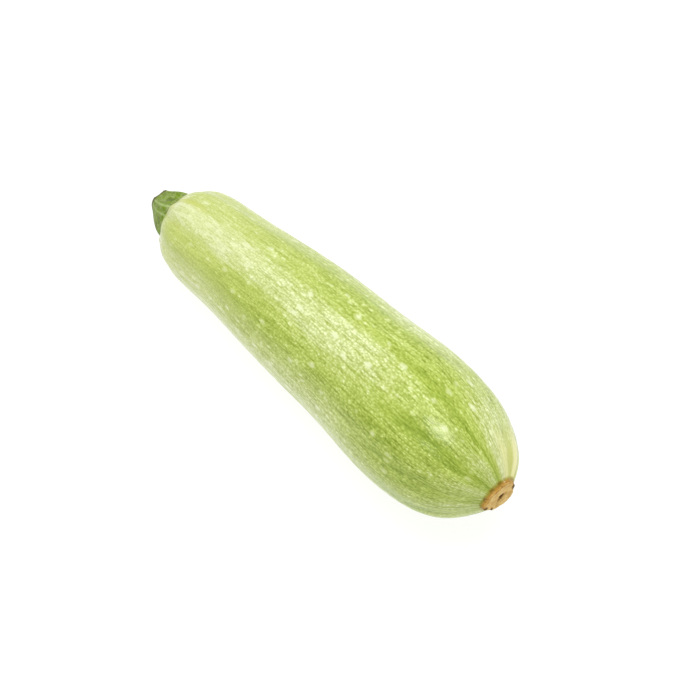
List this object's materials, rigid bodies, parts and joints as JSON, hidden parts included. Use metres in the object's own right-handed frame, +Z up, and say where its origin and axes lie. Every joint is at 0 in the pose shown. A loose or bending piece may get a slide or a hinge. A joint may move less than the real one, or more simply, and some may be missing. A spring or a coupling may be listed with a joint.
{
  "type": "zucchini",
  "caption": "Light green zucchini as picked, with a soft-ribbed tapering body, a short ridged stem stub and a corky blossom scar, lying on its side.",
  "frame": {"origin": "on the surface that the fruit lies on, at the middle of its resting spot, straight below its centre of mass", "axes": "+X along the fruit from the cut stem to the blossom end, +Z up from the surface, +Y to the outer side of the slight bow"},
  "size_m": [0.2076, 0.0598, 0.0586],
  "materials": {
    "skin": "waxy pale green skin with a fine net of paler flecks",
    "stem": "dull dark green ridged stalk with a dried cut end",
    "scar": "dry tan cork with a brown rim and a small dark pit"
  },
  "bodies": {
    "root": {"fruit": "skin", "stem": "stem", "blossom_scar": "scar"}
  },
  "joints": []
}
